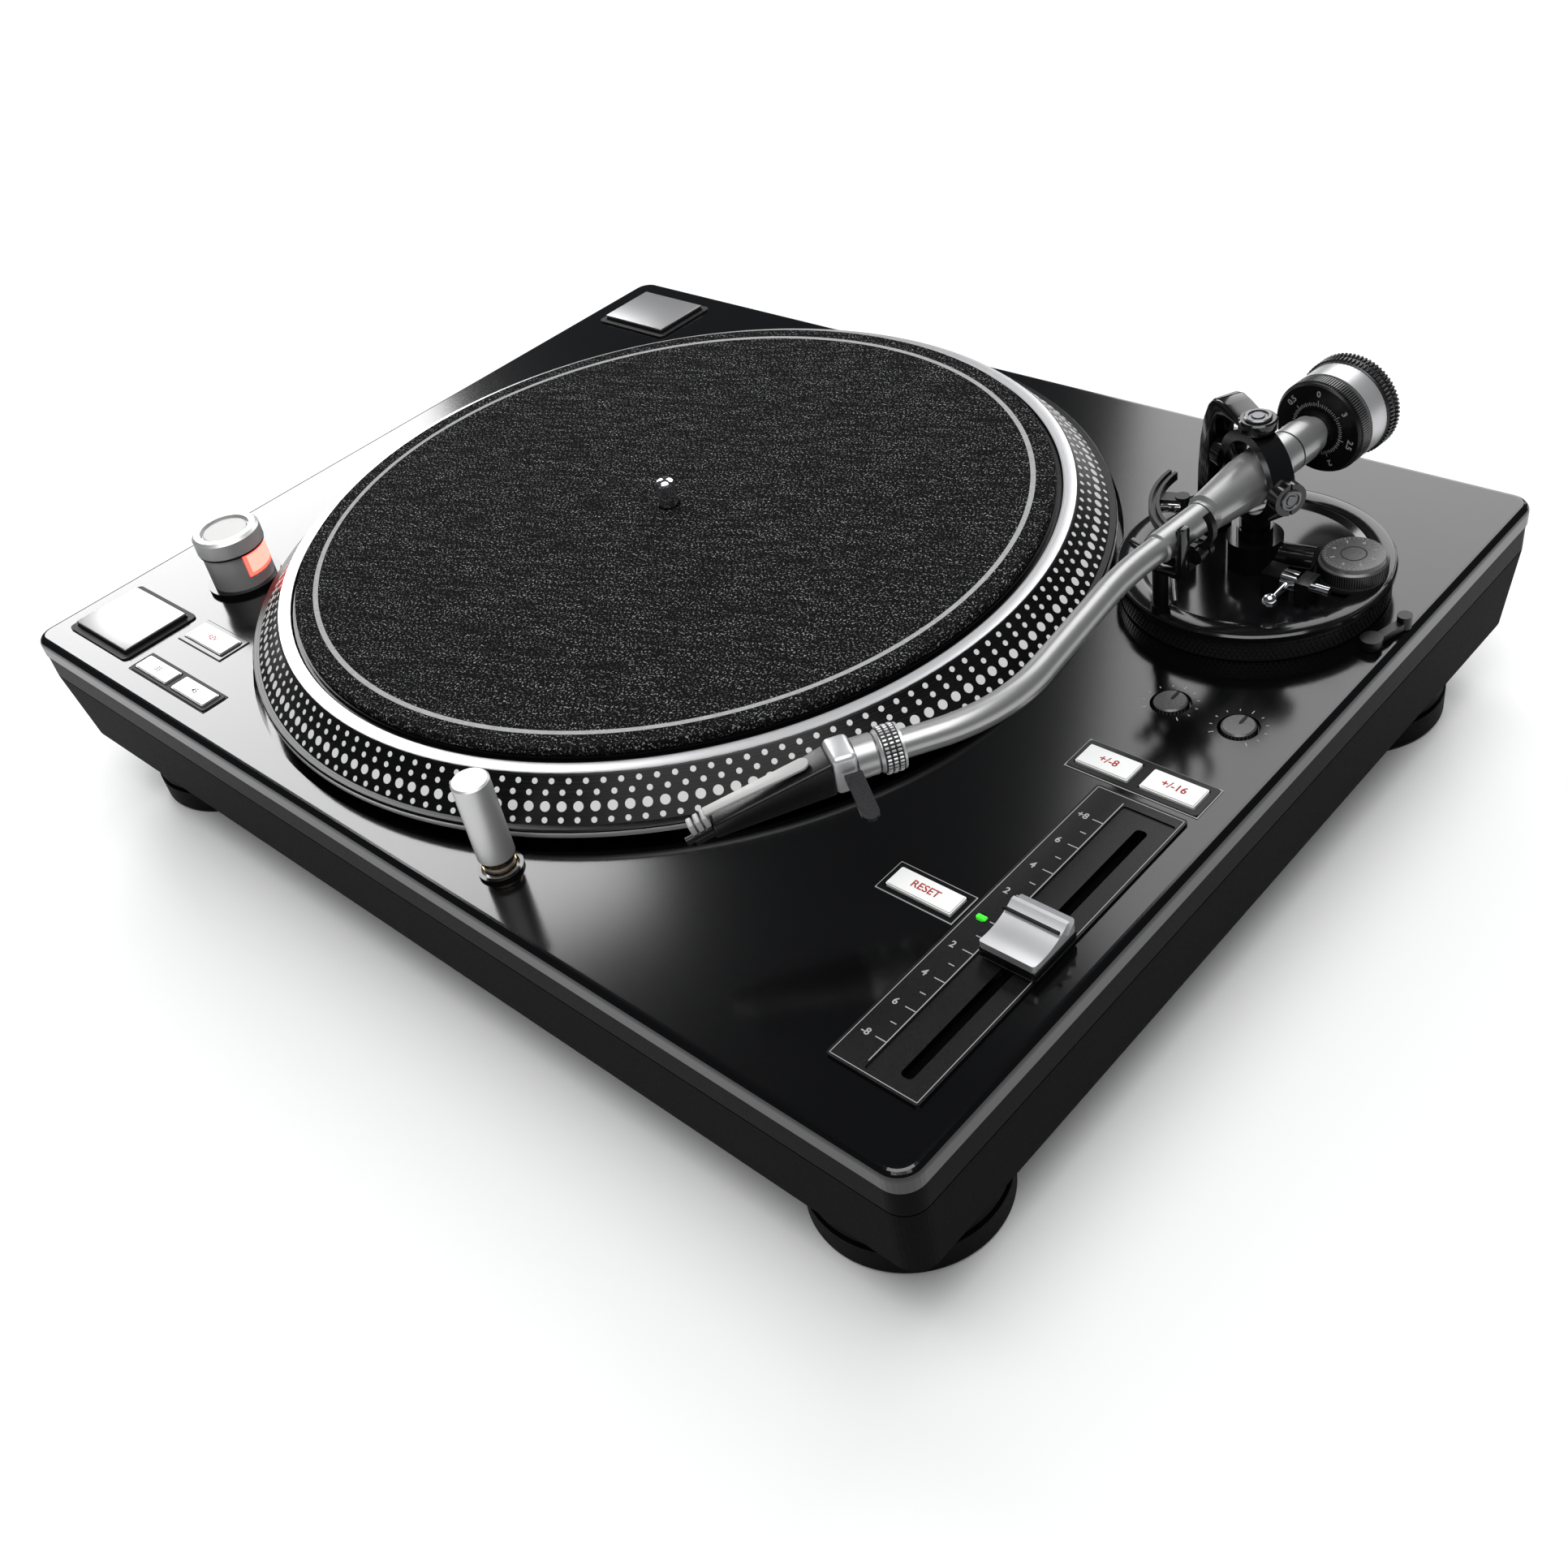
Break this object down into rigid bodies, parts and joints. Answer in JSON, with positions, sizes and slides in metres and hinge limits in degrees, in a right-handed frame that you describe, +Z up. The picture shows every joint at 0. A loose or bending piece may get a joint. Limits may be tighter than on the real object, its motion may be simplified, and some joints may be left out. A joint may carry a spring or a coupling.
{
  "type": "turntable record player",
  "caption": "Direct-drive turntable with a strobe-dotted platter, slipmat, S-shaped gimbal tonearm, pop-up lamp, start/stop buttons and a pitch fader on a heavy black plinth.",
  "frame": {"origin": "on the surface the feet stand on, under the middle of the plinth", "axes": "+Z up, -Y towards the front edge, +X to the tonearm side"},
  "size_m": [0.458, 0.355, 0.1442],
  "materials": {
    "deck_black": "satin",
    "band_black": "satin",
    "base_rubber": "matte",
    "cover_steel": "matte",
    "screw_steel": "satin",
    "stator_steel": "satin",
    "copper": "satin",
    "bearing_alloy": "satin",
    "board_green": "satin",
    "core_steel": "satin",
    "socket_plastic": "matte",
    "socket_metal": "gloss",
    "bezel_plastic": "gloss",
    "silver_plastic": "satin",
    "key_black": "satin",
    "key_white": "satin",
    "tower_alloy": "satin",
    "lens_red": "gloss",
    "lamp_alloy": "satin",
    "lamp_bronze": "satin",
    "panel_black": "satin",
    "track_steel": "satin",
    "platter_alloy": "satin",
    "felt": "matte",
    "ferrite": "matte",
    "spindle_steel": "gloss",
    "foot_rubber": "matte",
    "arm_black": "gloss",
    "dial_grey": "satin",
    "arm_alloy": "satin",
    "cartridge_black": "satin",
    "weight_alloy": "satin",
    "scale_black": "satin",
    "chrome_bits": "gloss"
  },
  "bodies": {
    "plinth": {"top_plate": "deck_black", "mid_band": "band_black", "lower_base": "base_rubber", "bottom_cover": "cover_steel", "cover_screws": "screw_steel", "motor_stator": "stator_steel", "stator_coils": "copper", "bearing_housing": "bearing_alloy", "main_board": "board_green", "transformer": "core_steel", "mains_inlet": "socket_plastic", "rca_panel": "socket_metal", "start_stop_bezels": "bezel_plastic", "speed_bezel": "bezel_plastic", "range_bezel": "bezel_plastic", "tactile_switches": "board_green", "power_tower": "tower_alloy", "strobe_lens": "lens_red", "lamp_socket": "lamp_bronze", "fader_panel": "panel_black", "fader_track": "track_steel", "arm_sleeve": "arm_black"},
    "platter_group": {"platter": "platter_alloy", "slipmat": "felt", "rotor_magnet": "ferrite", "spindle": "spindle_steel"},
    "start_stop_front": {"start_stop_front": "silver_plastic"},
    "start_stop_rear": {"start_stop_rear": "silver_plastic"},
    "reverse_button": {"reverse_button": "key_black"},
    "speed_33_button": {"speed_33_button": "key_black"},
    "speed_45_button": {"speed_45_button": "key_black"},
    "reset_button": {"reset_button": "key_white"},
    "range_8_button": {"range_8_button": "key_white"},
    "range_16_button": {"range_16_button": "key_white"},
    "power_knob": {"power_knob": "tower_alloy"},
    "lamp_barrel": {"lamp_barrel": "lamp_alloy"},
    "fader_cap": {"fader_cap": "silver_plastic"},
    "start_trim_knob": {"start_trim_knob": "dial_grey"},
    "brake_trim_knob": {"brake_trim_knob": "dial_grey"},
    "foot_front_left": {"foot_front_left": "foot_rubber"},
    "foot_front_right": {"foot_front_right": "foot_rubber"},
    "foot_rear_left": {"foot_rear_left": "foot_rubber"},
    "foot_rear_right": {"foot_rear_right": "foot_rubber"},
    "height_ring": {"height_ring": "arm_black"},
    "lock_lever": {"lock_lever": "arm_black"},
    "arm_base": {"arm_base": "arm_black", "gimbal_arch": "arm_black", "armrest_post": "arm_black"},
    "antiskate_dial": {"antiskate_dial": "dial_grey"},
    "armrest_latch": {"armrest_latch": "arm_black"},
    "lift_arc": {"lift_arc": "arm_black"},
    "cue_lever": {"cue_lever": "chrome_bits"},
    "gimbal": {"gimbal_ring": "arm_black"},
    "arm": {"arm_tube": "arm_alloy", "cartridge_body": "cartridge_black", "finger_lift": "arm_alloy", "stylus": "weight_alloy"},
    "locking_collar": {"locking_collar": "arm_alloy"},
    "scale_ring": {"scale_ring": "scale_black"},
    "counterweight": {"counterweight": "weight_alloy"}
  },
  "joints": [
    {"name": "platter_spin", "type": "hinge", "parent": "plinth", "child": "platter_group", "pos_m": [-0.026, 0, 0.1], "axis": [0, 0, 1], "continuous": true},
    {"name": "start_stop_front_press", "type": "slide", "parent": "plinth", "child": "start_stop_front", "axis": [0, 0, -1], "range_m": [0, 0.0012], "stiffness_N_per_m": 900},
    {"name": "start_stop_rear_press", "type": "slide", "parent": "plinth", "child": "start_stop_rear", "axis": [0, 0, -1], "range_m": [0, 0.0012], "stiffness_N_per_m": 900},
    {"name": "reverse_button_press", "type": "slide", "parent": "plinth", "child": "reverse_button", "axis": [0, 0, -1], "range_m": [0, 0.0012], "stiffness_N_per_m": 900},
    {"name": "speed_33_button_press", "type": "slide", "parent": "plinth", "child": "speed_33_button", "axis": [0, 0, -1], "range_m": [0, 0.0012], "stiffness_N_per_m": 900},
    {"name": "speed_45_button_press", "type": "slide", "parent": "plinth", "child": "speed_45_button", "axis": [0, 0, -1], "range_m": [0, 0.0012], "stiffness_N_per_m": 900},
    {"name": "reset_button_press", "type": "slide", "parent": "plinth", "child": "reset_button", "axis": [0, 0, -1], "range_m": [0, 0.0012], "stiffness_N_per_m": 900},
    {"name": "range_8_button_press", "type": "slide", "parent": "plinth", "child": "range_8_button", "axis": [0, 0, -1], "range_m": [0, 0.0012], "stiffness_N_per_m": 900},
    {"name": "range_16_button_press", "type": "slide", "parent": "plinth", "child": "range_16_button", "axis": [0, 0, -1], "range_m": [0, 0.0012], "stiffness_N_per_m": 900},
    {"name": "power_switch", "type": "hinge", "parent": "plinth", "child": "power_knob", "pos_m": [-0.1797, -0.1036, 0.1], "axis": [0, 0, 1], "range_deg": [-60, 0]},
    {"name": "lamp_pop_up", "type": "slide", "parent": "plinth", "child": "lamp_barrel", "axis": [0, 0, -1], "range_m": [0, 0.034]},
    {"name": "pitch_slide", "type": "slide", "parent": "plinth", "child": "fader_cap", "axis": [0, 1, 0], "range_m": [-0.0475, 0.0505]},
    {"name": "start_trim", "type": "hinge", "parent": "plinth", "child": "start_trim_knob", "pos_m": [0.1826, 0.0154, 0.08], "axis": [0, 0, 1], "range_deg": [-140, 140]},
    {"name": "brake_trim", "type": "hinge", "parent": "plinth", "child": "brake_trim_knob", "pos_m": [0.2068, 0.0154, 0.08], "axis": [0, 0, 1], "range_deg": [-140, 140]},
    {"name": "foot_front_left_level", "type": "hinge", "parent": "plinth", "child": "foot_front_left", "pos_m": [-0.187, -0.136, 0.02], "axis": [0, 0, 1], "continuous": true},
    {"name": "foot_front_right_level", "type": "hinge", "parent": "plinth", "child": "foot_front_right", "pos_m": [0.187, -0.136, 0.02], "axis": [0, 0, 1], "continuous": true},
    {"name": "foot_rear_left_level", "type": "hinge", "parent": "plinth", "child": "foot_rear_left", "pos_m": [-0.187, 0.136, 0.02], "axis": [0, 0, 1], "continuous": true},
    {"name": "foot_rear_right_level", "type": "hinge", "parent": "plinth", "child": "foot_rear_right", "pos_m": [0.187, 0.136, 0.02], "axis": [0, 0, 1], "continuous": true},
    {"name": "height_ring_turn", "type": "hinge", "parent": "plinth", "child": "height_ring", "pos_m": [0.1714, 0.085, 0.084], "axis": [0, 0, 1], "range_deg": [0, 180]},
    {"name": "height_lock", "type": "hinge", "parent": "plinth", "child": "lock_lever", "pos_m": [0.22115, 0.07167, 0.08], "axis": [0, 0, 1], "range_deg": [-5, 20]},
    {"name": "arm_height", "type": "slide", "parent": "plinth", "child": "arm_base", "axis": [0, 0, 1], "range_m": [0, 0.006]},
    {"name": "antiskate_turn", "type": "hinge", "parent": "arm_base", "child": "antiskate_dial", "pos_m": [0.2039, 0.091, 0.095], "axis": [0, 0, 1], "range_deg": [0, 300]},
    {"name": "armrest_clamp", "type": "hinge", "parent": "arm_base", "child": "armrest_latch", "pos_m": [0.17668, 0.04245, 0.1194], "axis": [0.0785, 0.9969, 0], "range_deg": [-50, 0]},
    {"name": "lifter_rise", "type": "slide", "parent": "arm_base", "child": "lift_arc", "axis": [0, 0, 1], "range_m": [0, 0.0022]},
    {"name": "cue_lever_lift", "type": "hinge", "parent": "arm_base", "child": "cue_lever", "pos_m": [0.1924, 0.072, 0.096], "axis": [-1, 0, 0], "range_deg": [0, 70]},
    {"name": "arm_swing", "type": "hinge", "parent": "arm_base", "child": "gimbal", "pos_m": [0.1714, 0.085, 0.12], "axis": [0, 0, 1], "range_deg": [-41, 0.5]},
    {"name": "arm_lift", "type": "hinge", "parent": "gimbal", "child": "arm", "pos_m": [0.1714, 0.085, 0.123], "axis": [-0.887, 0.4617, 0], "range_deg": [-1.8, 8]},
    {"name": "collar_lock", "type": "hinge", "parent": "arm", "child": "locking_collar", "pos_m": [0.15654, -0.08716, 0.123], "axis": [-0.5225, -0.8526, 0], "range_deg": [-90, 0]},
    {"name": "weight_travel", "type": "slide", "parent": "arm", "child": "scale_ring", "axis": [0.0785, 0.9969, 0], "range_m": [-0.001, 0.008]},
    {"name": "weight_turn", "type": "hinge", "parent": "scale_ring", "child": "counterweight", "pos_m": [0.17493, 0.12986, 0.123], "axis": [0.0785, 0.9969, 0], "range_deg": [-240, 1920]}
  ],
  "couplings": [
    {"joint": "arm_height", "follows": "height_ring_turn", "m_per_rad": 0.0019},
    {"joint": "lifter_rise", "follows": "cue_lever_lift", "m_per_rad": 0.0018},
    {"joint": "weight_travel", "follows": "weight_turn", "m_per_rad": 0.000238}
  ]
}
